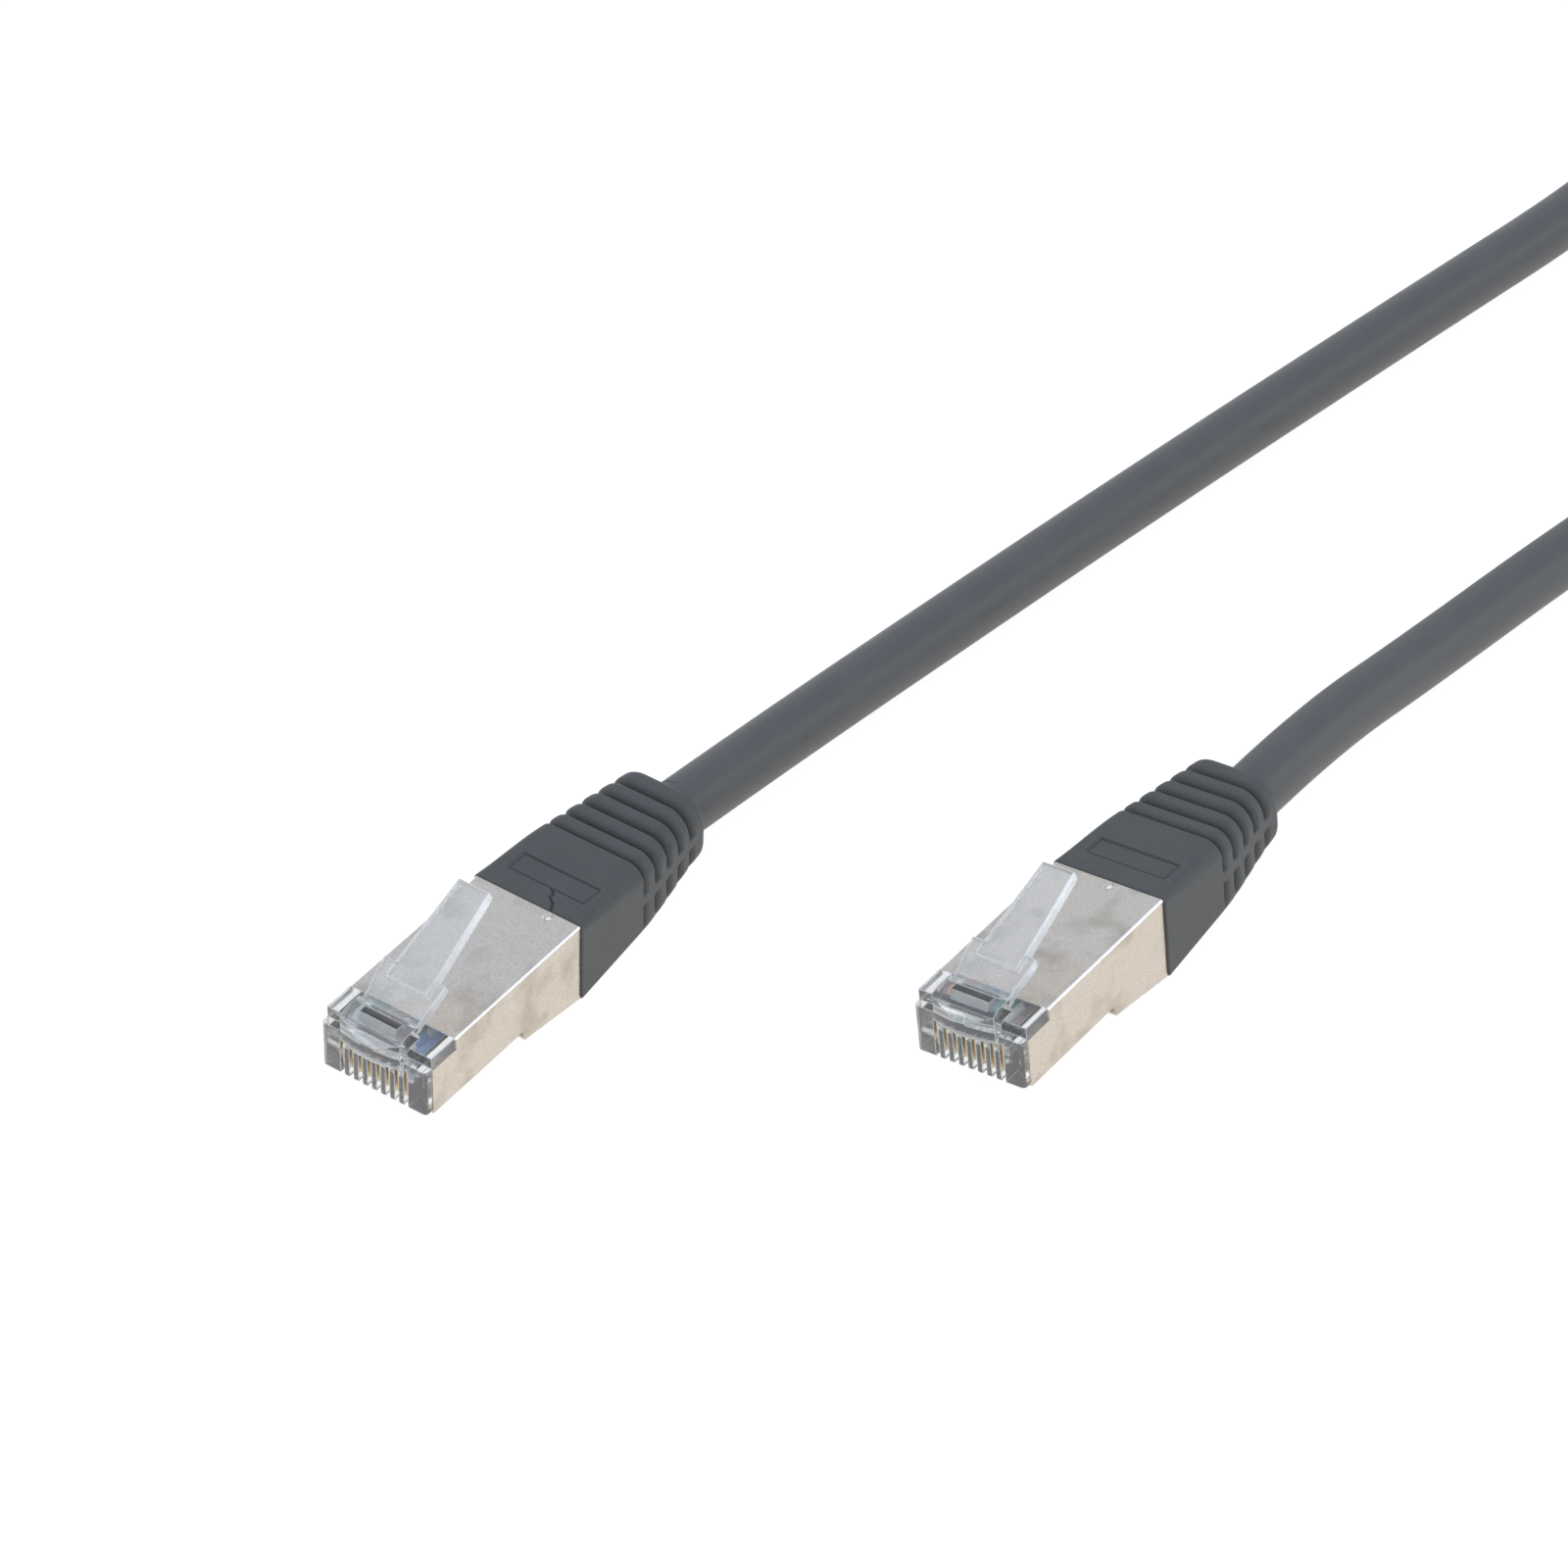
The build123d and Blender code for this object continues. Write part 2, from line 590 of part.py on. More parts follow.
for end, place in plug_places.items():
    latch = plug_pieces["latch"].rotate(hinge_axis, pressed[end])
    shield = make_plug_shield(DIMPLE_X[end])
    for name, piece in {**plug_pieces, "latch": latch, "plug_shield": shield}.items():
        write(piece.moved(place.location), f"{name}_{end}")
    hinge = place.from_local_coords(Vector(0, AXIS_Y, AXIS_Z))
    nose = place.from_local_coords(Vector(0, 0, (NOSE_BOTTOM + NOSE_TOP) / 2))
    cable_exit = place.from_local_coords(Vector(0, BOOT_END, CABLE_Z))
    along = place.from_local_coords(Vector(0, 1, 0)) - place.origin
    print("plug", end, "hinge", hinge, "axis", place.x_dir, "nose", nose, "exit", cable_exit, along)

write(make_cable_run(ROUTE_A), "cable_run_a")
write(make_cable_run(ROUTE_B), "cable_run_b")
write(make_cable_coil(), "cable_coil")
write(make_coil_tie(), "coil_tie")
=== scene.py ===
"""Looks of the shielded ethernet patch cable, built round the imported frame.

Lengths are in metres. The boot's and the tie's own shapes are worked out in millimetres and scaled
by MM. A boot is drawn once in its plug's frame (x across, y back from the nose face, z up) and
placed at each end.
"""

import json
import math

import bmesh
import bpy
from mathutils import Matrix, Vector


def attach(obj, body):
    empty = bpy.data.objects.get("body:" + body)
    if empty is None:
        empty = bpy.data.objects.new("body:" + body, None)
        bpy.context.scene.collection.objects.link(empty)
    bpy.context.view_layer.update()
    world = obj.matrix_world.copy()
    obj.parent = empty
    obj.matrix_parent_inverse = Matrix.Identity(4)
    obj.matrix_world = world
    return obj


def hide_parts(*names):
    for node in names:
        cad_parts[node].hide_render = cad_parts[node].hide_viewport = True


MM = 0.001
ENDS = ("a", "b")

# ---- camera
CAMERA_AT = Vector((0.2414, -0.3293, 0.3629))
CAMERA_LOOK = Vector((-0.4252, 0.6314, -0.6484)).normalized()
CAMERA_UP = Vector((-0.387, 0.521, 0.761))
LENS = 135.0
SENSOR = 36.0

# ---- cord: the route's points outside the coil, then the coil between them
CORD_DIAMETER = 0.006
ROUTE_A = [
    (0.0, 0.0117, 0.0037),
    (0.0012, 0.0230, 0.0036),
    (0.0035, 0.0440, 0.0030),
    (0.0082, 0.0780, 0.0030),
    (0.0151, 0.1230, 0.0030),
    (0.0195, 0.1500, 0.0030),
    (0.0199, 0.1645, 0.0030),
    (0.0139, 0.1770, 0.0030),
    (0.0033, 0.1870, 0.0030),
]
ROUTE_B = [
    (0.042452, 0.044771, 0.004458),
    (0.042697, 0.056768, 0.004458),
    (0.0443, 0.0730, 0.0030),
    (0.0476, 0.0970, 0.0030),
    (0.0535, 0.1300, 0.0030),
    (0.0615, 0.1670, 0.0045),
    (0.0689, 0.2015, 0.0090),
]
COIL_X = 0.0330
COIL_Y = 0.2101
COIL_OUTER_R = 0.0370
COIL_INNER_R = 0.0285
COIL_LOW_Z = 0.0030
COIL_HIGH_Z = 0.0090
WHOLE_TURNS = 2
CLIMB_FROM = 1.38
CLIMB_TO = 1.58
POINTS_PER_TURN = 16

# ---- plug, in its own frame, in millimetres; the turns are parts of a face's normal
HINGE_Y = 2.70
HINGE_Z = 9.80
POCKET_HALF_X = 2.06
POCKET_MID_Y = 1.25
POCKET_HALF_Y = 0.41
POCKET_FLOOR_Z = 8.93
ROOT_TOP_Z = 10.42
ROOT_HALF_X = 3.4
LIP_Z = 7.20
LIP_HALF_Z = 0.25
LIP_DEPTH = 0.5
SIDE_TURN = 0.75
FOLD_TURN = 0.25

# ---- boot, in its plug's frame, in millimetres; pairs run from the front to the end
BOOT_FRONT_Y = 22.70
BOOT_END_Y = 45.10
BOOT_HALF = (6.20, 4.90)
BOOT_TOP = (9.05, 7.40)
LEFT_SWELL = 0.40
RIGHT_DRAW = 0.95
ROOF_SWELL = 0.20
LEFT_CORNER = (0.6, 2.3)
RIGHT_CORNER = (0.6, 2.9)
LOW_CORNER = (0.5, 2.4)
BOOT_AXIS_Z = 3.70
FRONT_ROUND = 0.22
END_ROUND = 0.90
RIGHT_INSET = 0.6
LOW_INSET = 0.8
CORNER_INSET = 0.3
FRONT_WALL = 0.55
BORE_R = CORD_DIAMETER / MM / 2 + 0.02
BORE_FRONT_Y = 28.7
RING_BORE_R = 3.37
RING_BORE_Y = (25.4, 28.6)
MOUTH_R = 0.12
GROOVES_Y = [33.20 + 2.32 * index for index in range(5)]
GROOVE_REACH = 0.92
FIRST_REACH = 0.42
LAST_REACH = 0.95
GROOVE_FLAT = 0.06
GROOVE_SHARPNESS = 2.7
GROOVE_DEPTH = 0.74
WEB_SHARE = 0.53
WEB_HALF = 0.62
UNDER_Z = (0.6, 2.0)
LABEL_HALF = (4.30, 1.25)
LABEL_MID_Y = 26.70
LABEL_DEPTH = 0.10
LABEL_EDGE = 0.06
LABEL_LINE = 0.16
LABEL_LINE_HALF = (0.03, 0.13)
SPLIT_DEPTH = 0.30
SPLIT_HALF = (0.04, 0.15)
SPLIT = [(0.7, 25.3), (1.3, 24.9), (1.25, 24.3), (2.0, 23.8), (2.3, 23.2), (2.6, 22.7)]

# ---- how finely the boot is divided
ROUND_STEPS = 8
FLOOR_STEPS = 20
LOW_STEPS = 12
SIDE_STEPS = 44
HIGH_STEPS = 16
ROOF_STEPS = 96
MOUTH_STEPS = 4
PLAIN_GAP = 0.3
SPLIT_FROM_Y = BOOT_FRONT_Y + 0.25
SPLIT_GAP = 0.09
GROOVE_GAP = 0.06
LABEL_GAP = 0.035
LEAST_GAP = 0.02

# ---- tie, in millimetres: its section across and outward, then its twisted ends
TIE_STEPS = 72
TIE_LOW_Z = 0.3
TIE_OVERLAP = 0.05
TIE_SECTION = [
    (-1.7, 0.0), (-1.5, 0.16), (-0.6, 0.2), (0, 0.55), (0.6, 0.2),
    (1.5, 0.16), (1.7, 0.0), (1.5, -0.14), (-1.5, -0.14),
]
TWIST_STEPS = 70
TWIST_TURNS = 4.25
TWIST_LENGTH = 13.5
TWIST_START = (1.0, 0.9)
TWIST_RISE = 0.9
TWIST_DROP = 2.6
TWIST_R = 0.42
TWIST_FLARE = 0.5
STRAND_HALF = (0.42, 0.66)
STRAND_SIDES = 8


def plug_matrix(end):
    """Place of one plug's frame, read from its latch hinge and its nose mount."""
    joint = next(j for j in frame["joints"] if j["name"] == f"latch_{end}_press")
    mount = next(m for m in frame["record"]["mounts"] if m["name"] == f"plug_{end}")
    across = -Vector(joint["axis"]).normalized()
    back = -Vector(mount["axis"]).normalized()
    up = across.cross(back)
    origin = Vector(joint["pos_m"]) - back * HINGE_Y * MM - up * HINGE_Z * MM
    turn = Matrix((across, back, up)).transposed()
    return Matrix.Translation(origin) @ turn.to_4x4()


def link(name, data):
    """New object for the data, in the scene."""
    made = bpy.data.objects.new(name, data)
    bpy.context.scene.collection.objects.link(made)
    return made


# ---------------------------------------------------------------- camera and cord
def make_camera():
    """Camera at the photograph's viewing angle."""
    data = bpy.data.cameras.new("camera")
    data.lens = LENS
    data.sensor_width = SENSOR
    data.clip_start = 0.01
    data.clip_end = 20.0
    camera = link("camera", data)
    right = CAMERA_LOOK.cross(CAMERA_UP).normalized()
    up = right.cross(CAMERA_LOOK)
    turn = Matrix((right, up, -CAMERA_LOOK)).transposed()
    camera.matrix_world = Matrix.Translation(CAMERA_AT) @ turn.to_4x4()
    bpy.context.scene.camera = camera


def between(value, low, high):
    """Share of the way from low to high, kept from 0 to 1."""
    return min(max((value - low) / (high - low), 0.0), 1.0)


def smooth(value, low, high):
    """Smooth step from 0 at low to 1 at high."""
    share = between(value, low, high)
    return share * share * (3 - 2 * share)


def mixed(first, second, share):
    """Straight mix of two numbers."""
    return first + (second - first) * share


def coil_angle(point):
    """Direction of a point from the middle of the coil."""
    return math.atan2(point[1] - COIL_Y, point[0] - COIL_X)


def coil_turns():
    """Turns from the end of route A, clockwise from above, to the end of route B."""
    start, end = coil_angle(ROUTE_A[-1]), coil_angle(ROUTE_B[-1])
    return ((start - end) % math.tau) / math.tau + WHOLE_TURNS


def coil_at(turn):
    """Radius and height of the cord after so many turns of the coil."""
    inwards = between(turn, 0, CLIMB_FROM) - between(turn, CLIMB_TO, coil_turns())
    height = mixed(COIL_LOW_Z, COIL_HIGH_Z, smooth(turn, CLIMB_FROM, CLIMB_TO))
    return mixed(COIL_OUTER_R, COIL_INNER_R, inwards), height


def coil_points():
    """Control points of the turns, inwards along the surface, up, and outwards on top."""
    start, turns = coil_angle(ROUTE_A[-1]), coil_turns()
    count = round(turns * POINTS_PER_TURN)
    # a quadratic spline runs this much inside its control points
    inside = 0.75 + 0.25 * math.cos(math.tau / POINTS_PER_TURN)
    points = []
    for step in range(1, count):
        turn = turns * step / count
        angle = start - turn * math.tau
        radius, z = coil_at(turn)
        radius /= inside
        points.append((COIL_X + radius * math.cos(angle), COIL_Y + radius * math.sin(angle), z))
    return points


def make_cord(material):
    """The whole free cord from boot to boot, one open spline."""
    data = bpy.data.curves.new("cord", "CURVE")
    data.dimensions = "3D"
    data.resolution_u = 12
    data.bevel_depth = CORD_DIAMETER / 2
    data.bevel_resolution = 7
    data.use_fill_caps = True
    points = ROUTE_A + coil_points() + ROUTE_B[::-1]
    spline = data.splines.new("NURBS")
    spline.points.add(len(points) - 1)
    for point, place in zip(spline.points, points):
        point.co = (*place, 1.0)
    spline.order_u = 3
    spline.use_endpoint_u = True
    data.materials.append(material)
    cord = link("cord", data)
    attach(cord, "root")
    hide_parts("cable_run_a", "cable_run_b", "cable_coil")
    return cord


# ---------------------------------------------------------------- materials
def principled(name, values):
    """New material; returns it with its node tree and its Principled shader."""
    material = bpy.data.materials.new(name)
    material.use_nodes = True
    tree = material.node_tree
    shader = next(node for node in tree.nodes if node.type == "BSDF_PRINCIPLED")
    for socket, value in values.items():
        shader.inputs[socket].default_value = value
    return material, tree, shader


def noise(tree, size, detail=2.0, stretch=(1, 1, 1)):
    """Noise fixed to the piece, with features of about size metres."""
    place = tree.nodes.new("ShaderNodeTexCoord")
    mapping = tree.nodes.new("ShaderNodeMapping")
    mapping.inputs["Scale"].default_value = stretch
    pattern = tree.nodes.new("ShaderNodeTexNoise")
    pattern.inputs["Scale"].default_value = 1 / size
    pattern.inputs["Detail"].default_value = detail
    tree.links.new(place.outputs["Object"], mapping.inputs["Vector"])
    tree.links.new(mapping.outputs["Vector"], pattern.inputs["Vector"])
    return pattern.outputs["Fac"]


def ranged(tree, source, low, high, start=0.3, stop=0.7):
    """Source from start to stop, mapped to low to high."""
    node = tree.nodes.new("ShaderNodeMapRange")
    node.inputs["From Min"].default_value = start
    node.inputs["From Max"].default_value = stop
    node.inputs["To Min"].default_value = low
    node.inputs["To Max"].default_value = high
    tree.links.new(source, node.inputs["Value"])
    return node.outputs["Result"]


def tinted(tree, share, first, second):
    """Colour between first and second; either may be a colour or a socket."""
    node = tree.nodes.new("ShaderNodeMix")
    node.data_type = "RGBA"
    tree.links.new(share, node.inputs[0])
    for index, colour in ((6, first), (7, second)):
        if isinstance(colour, tuple):
            node.inputs[index].default_value = (*colour, 1.0)
        else:
            tree.links.new(colour, node.inputs[index])
    return node.outputs[2]


def rounded(tree, radius):
    """Normals rounded over the piece's sharp edges by radius in metres."""
    node = tree.nodes.new("ShaderNodeBevel")
    node.samples = 6
    node.inputs["Radius"].default_value = radius
    return node.outputs["Normal"]


def bumped(tree, shader, layers, below=None):
    """Relief from layers of (source, height in metres), one on the other."""
    for source, height in layers:
        node = tree.nodes.new("ShaderNodeBump")
        node.inputs["Strength"].default_value = 1.0
        node.inputs["Distance"].default_value = height
        tree.links.new(source, node.inputs["Height"])
        if below is not None:
            tree.links.new(below, node.inputs["Normal"])
        below = node.outputs["Normal"]
    tree.links.new(below, shader.inputs["Normal"])


def make_jacket_material():
    """Satin grey PVC jacket with extrusion grain and faint scuffs."""
    material, tree, shader = principled("jacket_pvc", {"IOR": 1.53})
    grain = noise(tree, 0.00018, 3.0)
    scuffs = noise(tree, 0.004, 4.0)
    colour = tinted(tree, ranged(tree, scuffs, 0, 1), (0.074, 0.073, 0.069), (0.088, 0.087, 0.083))
    tree.links.new(colour, shader.inputs["Base Color"])
    tree.links.new(ranged(tree, scuffs, 0.44, 0.56), shader.inputs["Roughness"])
    bumped(tree, shader, [(noise(tree, 0.006), 0.00006), (grain, 0.000006)])
    return material


def make_boot_material():
    """Soft overmoulded PVC, darker and cooler than the jacket, with a fine dark grain."""
    material, tree, shader = principled("boot_pvc", {"IOR": 1.5, "Specular IOR Level": 0.42})
    grain = noise(tree, 0.00013, 3.0)
    clouds = noise(tree, 0.003, 3.0)
    cloudy = tinted(tree, ranged(tree, clouds, 0, 1), (0.071, 0.072, 0.069), (0.080, 0.081, 0.078))
    colour = tinted(tree, ranged(tree, grain, 0, 0.35), cloudy, (0.040, 0.041, 0.040))
    tree.links.new(colour, shader.inputs["Base Color"])
    tree.links.new(ranged(tree, grain, 0.50, 0.66), shader.inputs["Roughness"])
    bumped(tree, shader, [(noise(tree, 0.0011), 0.000016), (grain, 0.000016)])
    return material


def make_nickel_material(name, light, dark, worn_down, roughness):
    """Satin nickel-plated sheet with smudges, handling marks and a rolled grain."""
    material, tree, shader = principled(name, {"Metallic": 1.0, "Anisotropic": 0.25})
    smudges = noise(tree, 0.0035, 5.0)
    mottle = noise(tree, 0.00014, 2.0)
    marks = noise(tree, 0.0016, 6.0, stretch=(1, 0.22, 1))
    clean = tinted(tree, ranged(tree, mottle, 0, 1), light, dark)
    wear = ranged(tree, smudges, 0, worn_down, 0.50, 0.72)
    worn = tinted(tree, wear, clean, (0.470, 0.410, 0.335))
    tree.links.new(worn, shader.inputs["Base Color"])
    tree.links.new(ranged(tree, marks, *roughness), shader.inputs["Roughness"])
    relief = [(noise(tree, 0.004), 0.00002), (mottle, 0.0000025)]
    bumped(tree, shader, relief, rounded(tree, 0.00006))
    return material


def make_gold_material():
    """Gold-plated contact."""
    material, tree, shader = principled("contact_gold", {"Metallic": 1.0})
    wear = noise(tree, 0.0006, 3.0)
    colour = tinted(tree, ranged(tree, wear, 0, 1), (0.86, 0.72, 0.48), (0.70, 0.56, 0.36))
    tree.links.new(colour, shader.inputs["Base Color"])
    tree.links.new(ranged(tree, wear, 0.16, 0.32), shader.inputs["Roughness"])
    return material


def make_clear_material(name, clear, painted_highlight_clear, colour, haze_range, edge=0.00016):
    """Clear polycarbonate with a painted highlight, less clear and whiter over its rounded edges; lamps reach what
    is inside it.
    """
    material, tree, shader = principled(name, {"IOR": 1.585, "Base Color": (*colour, 1.0)})
    haze = noise(tree, 0.0012, 4.0)
    tree.links.new(ranged(tree, haze, *haze_range), shader.inputs["Roughness"])
    soft = rounded(tree, edge)
    bumped(tree, shader, [(noise(tree, 0.0025), 0.000012)], soft)
    # painted highlight: where the rounded normal turns away from the flat one, transmission drops and the edge
    # shows white
    flat = tree.nodes.new("ShaderNodeNewGeometry")
    turned = tree.nodes.new("ShaderNodeVectorMath")
    turned.operation = "DOT_PRODUCT"
    tree.links.new(soft, turned.inputs[0])
    tree.links.new(flat.outputs["Normal"], turned.inputs[1])
    clear_share = ranged(tree, turned.outputs["Value"], painted_highlight_clear, clear, 0.88, 0.99)
    tree.links.new(clear_share, shader.inputs["Transmission Weight"])
    output = next(node for node in tree.nodes if node.type == "OUTPUT_MATERIAL")
    path = tree.nodes.new("ShaderNodeLightPath")
    open_way = tree.nodes.new("ShaderNodeBsdfTransparent")
    open_way.inputs["Color"].default_value = (0.92, 0.93, 0.93, 1.0)
    either = tree.nodes.new("ShaderNodeMixShader")
    tree.links.new(path.outputs["Is Shadow Ray"], either.inputs[0])
    tree.links.new(shader.outputs[0], either.inputs[1])
    tree.links.new(open_way.outputs[0], either.inputs[2])
    tree.links.new(either.outputs[0], output.inputs["Surface"])
    return material


def make_wire_material(name, colour, stripe=None):
    """Wire insulation, plain or pale with slanting stripes of its pair's colour."""
    material, tree, shader = principled(f"wire_{name}", {"IOR": 1.51})
    tone = noise(tree, 0.0009, 2.0)
    darker = tuple(0.8 * part for part in colour)
    base = tinted(tree, ranged(tree, tone, 0, 1), colour, darker)
    if stripe:
        place = tree.nodes.new("ShaderNodeTexCoord")
        bands = tree.nodes.new("ShaderNodeTexWave")
        bands.bands_direction = "DIAGONAL"
        bands.inputs["Scale"].default_value = 130.0
        bands.inputs["Distortion"].default_value = 1.2
        tree.links.new(place.outputs["Object"], bands.inputs["Vector"])
        base = tinted(tree, ranged(tree, bands.outputs["Fac"], 0, 1, 0.62, 0.7), base, stripe)
    tree.links.new(base, shader.inputs["Base Color"])
    tree.links.new(ranged(tree, tone, 0.30, 0.42), shader.inputs["Roughness"])
    return material


def make_metal_material(name, light, dark, size, height):
    """Plain metal with fine relief, for the foil and the drain wire."""
    material, tree, shader = principled(name, {"Metallic": 1.0})
    pattern = noise(tree, size, 3.0)
    colour = tinted(tree, ranged(tree, pattern, 0, 1), light, dark)
    tree.links.new(colour, shader.inputs["Base Color"])
    tree.links.new(ranged(tree, pattern, 0.2, 0.4), shader.inputs["Roughness"])
    bumped(tree, shader, [(pattern, height)])
    return material


def make_tie_material():
    """Black vinyl of the wire tie."""
    material, tree, shader = principled("tie_vinyl", {"IOR": 1.5})
    grain = noise(tree, 0.0003, 3.0)
    colour = tinted(tree, ranged(tree, grain, 0, 1), (0.020, 0.021, 0.023), (0.034, 0.035, 0.037))
    tree.links.new(colour, shader.inputs["Base Color"])
    tree.links.new(ranged(tree, grain, 0.30, 0.42), shader.inputs["Roughness"])
    bumped(tree, shader, [(grain, 0.000008)])
    return material


WIRE_COLOURS = {
    "orange": (0.80, 0.26, 0.04),
    "green": (0.04, 0.36, 0.13),
    "blue": (0.035, 0.16, 0.48),
    "brown": (0.22, 0.10, 0.05),
}
PALE = (0.82, 0.82, 0.80)


def make_materials():
    """Every material, by the record's slot."""
    made = {
        "cable_jacket": make_jacket_material(),
        "boot_pvc": make_boot_material(),
        "nickel_sheet": make_nickel_material(
            "nickel_sheet", (0.710, 0.628, 0.538), (0.550, 0.480, 0.404), 1.0, (0.19, 0.36)),
        "gold_contact": make_gold_material(),
        "clear_polycarbonate": make_clear_material(
            "clear_polycarbonate", 0.93, 0.25, (0.95, 0.95, 0.93), (0.03, 0.10)),
        "screen_foil": make_metal_material(
            "screen_foil", (0.85, 0.86, 0.88), (0.7, 0.71, 0.73), 0.0008, 3e-5),
        "tinned_wire": make_metal_material(
            "tinned_wire", (0.78, 0.78, 0.77), (0.6, 0.6, 0.6), 0.0003, 4e-6),
        "tie_vinyl": make_tie_material(),
    }
    for name, colour in WIRE_COLOURS.items():
        made[f"wire_{name}"] = make_wire_material(name, colour)
        made[f"wire_white_{name}"] = make_wire_material(f"white_{name}", PALE, colour)
    return made


def dress(node, *materials, which=None):
    """Puts materials on a CAD node; which picks a face's material by its middle and its normal."""
    node.data.materials.clear()
    for material in materials:
        node.data.materials.append(material)
    if which:
        for face in node.data.polygons:
            face.material_index = which(face.center, face.normal)


def dress_plugs():
    """Painted highlights on the shield's folds that face up and across, on the latch's side faces and on its front
    lip, and painted shade in the pocket.
    """
    # painted highlight: the latch's edges go almost white
    latch_clear = make_clear_material(
        "latch_polycarbonate", 0.965, 0.02, (0.97, 0.97, 0.96), (0.03, 0.09), 0.00022)
    # painted highlight: a whiter, less clear plastic for the latch's side faces and the front lip under the latch
    # root
    painted_highlight = make_clear_material("painted_edge_highlight", 0.58, 0.02, (0.98, 0.98, 0.97), (0.12, 0.22))
    # painted shade: a dark, half-clear plastic for the walls and floor of the pocket in the latch root
    pocket_painted_shade = make_clear_material("pocket_shade", 0.30, 0.30, (0.20, 0.20, 0.19), (0.30, 0.45))
    # painted highlight: a near-white copy of the nickel for the shield's rounded folds
    painted_fold_highlight = make_nickel_material(
        "nickel_painted_fold_highlight", (0.98, 0.96, 0.92), (0.90, 0.87, 0.81), 0.15, (0.20, 0.30))
    for end in ENDS:
        place = plug_matrix(end)
        inverse = place.inverted()

        def latch_face(middle, normal):
            # latch faces turned across get the painted highlight
            return int(abs(normal.dot(place.col[0].xyz)) > SIDE_TURN)

        # faces turned both up and across get the painted fold highlight
        def shield_face(middle, normal):
            across, up = abs(normal.dot(place.col[0].xyz)), normal.dot(place.col[2].xyz)
            return int(across > FOLD_TURN and up > FOLD_TURN)

        def body_face(middle, normal):
            x, y, z = (inverse @ middle) / MM
            over_pocket = abs(x) < POCKET_HALF_X and abs(y - POCKET_MID_Y) < POCKET_HALF_Y
            # the pocket's walls and floor get the painted shade
            if over_pocket and POCKET_FLOOR_Z < z < ROOT_TOP_Z:
                return 2
            # the front lip gets the painted highlight
            on_lip = y < LIP_DEPTH and abs(z - LIP_Z) < LIP_HALF_Z
            return int(abs(x) < ROOT_HALF_X and on_lip)

        shield = frame["nodes"][f"plug_shield_{end}"]
        latch = frame["nodes"][f"latch_{end}"]
        body = frame["nodes"][f"plug_body_{end}"]
        dress(shield, materials["nickel_sheet"], painted_fold_highlight, which=shield_face)
        dress(latch, latch_clear, painted_highlight, which=latch_face)
        dress(body, materials["clear_polycarbonate"], painted_highlight, pocket_painted_shade, which=body_face)


# ---------------------------------------------------------------- boots
def boot_outline(y):
    """Left and right half width, top, and the roof's left and right corner radius at y."""
    share = between(y, BOOT_FRONT_Y, BOOT_END_Y)
    even = mixed(*BOOT_HALF, share)
    left = even + LEFT_SWELL * smooth(share, 0, 0.45)
    right = even - RIGHT_DRAW * smooth(share, 0.45, 1)
    top = mixed(*BOOT_TOP, share) + ROOF_SWELL * smooth(share, 0, 0.4)
    return left, right, top, mixed(*LEFT_CORNER, share**1.4), mixed(*RIGHT_CORNER, share**0.8)


def boot_ring(y, inset):
    """Points round the boot at y with their outward normals, from the underside's left."""
    left, right, top, left_corner, right_corner = boot_outline(y)
    left, right = left - inset, right - RIGHT_INSET * inset
    low, top = LOW_INSET * inset, top - inset
    left_corner -= CORNER_INSET * inset
    right_corner -= CORNER_INSET * inset
    low_corner = mixed(*LOW_CORNER, between(y, BOOT_FRONT_Y, BOOT_END_Y))
    ring = []

    def straight(start, stop, count, normal):
        for step in range(count):
            x, z = (mixed(first, last, step / count) for first, last in zip(start, stop))
            ring.append((x, z, *normal))

    def arc(x, z, radius, start, count):
        for step in range(count):
            turn = start + math.pi / 2 * step / count
            normal = (math.cos(turn), math.sin(turn))
            ring.append((x + radius * normal[0], z + radius * normal[1], *normal))

    straight((low_corner - left, low), (right - low_corner, low), FLOOR_STEPS, (0, -1))
    arc(right - low_corner, low + low_corner, low_corner, -math.pi / 2, LOW_STEPS)
    straight((right, low + low_corner), (right, top - right_corner), SIDE_STEPS, (1, 0))
    arc(right - right_corner, top - right_corner, right_corner, 0, HIGH_STEPS)
    straight((right - right_corner, top), (left_corner - left, top), ROOF_STEPS, (0, 1))
    arc(left_corner - left, top - left_corner, left_corner, math.pi / 2, HIGH_STEPS)
    straight((-left, top - left_corner), (-left, low + low_corner), SIDE_STEPS, (-1, 0))
    arc(low_corner - left, low + low_corner, low_corner, math.pi, LOW_STEPS)
    return ring


def groove_depth(y, x, z):
    """How deep the creases between the rounded ribs are at a point of the boot's surface."""
    away, groove = min((abs(y - groove), groove) for groove in GROOVES_Y)
    reach = GROOVE_REACH
    if y < GROOVES_Y[0]:
        reach = FIRST_REACH
    if y > GROOVES_Y[-1]:
        reach = LAST_REACH
    if away >= reach:
        return 0.0
    across = (1 - max(away - GROOVE_FLAT, 0) / (reach - GROOVE_FLAT)) ** GROOVE_SHARPNESS
    left, right, top, _, right_corner = boot_outline(groove)
    side = right if x > 0 else left
    on_side = smooth(abs(x), side - right_corner, side - 0.4 * right_corner)
    web = 1 - smooth(abs(z - top * WEB_SHARE), WEB_HALF - 0.12, WEB_HALF + 0.16)
    return GROOVE_DEPTH * across * (1 - web * on_side) * smooth(z, *UNDER_Z)


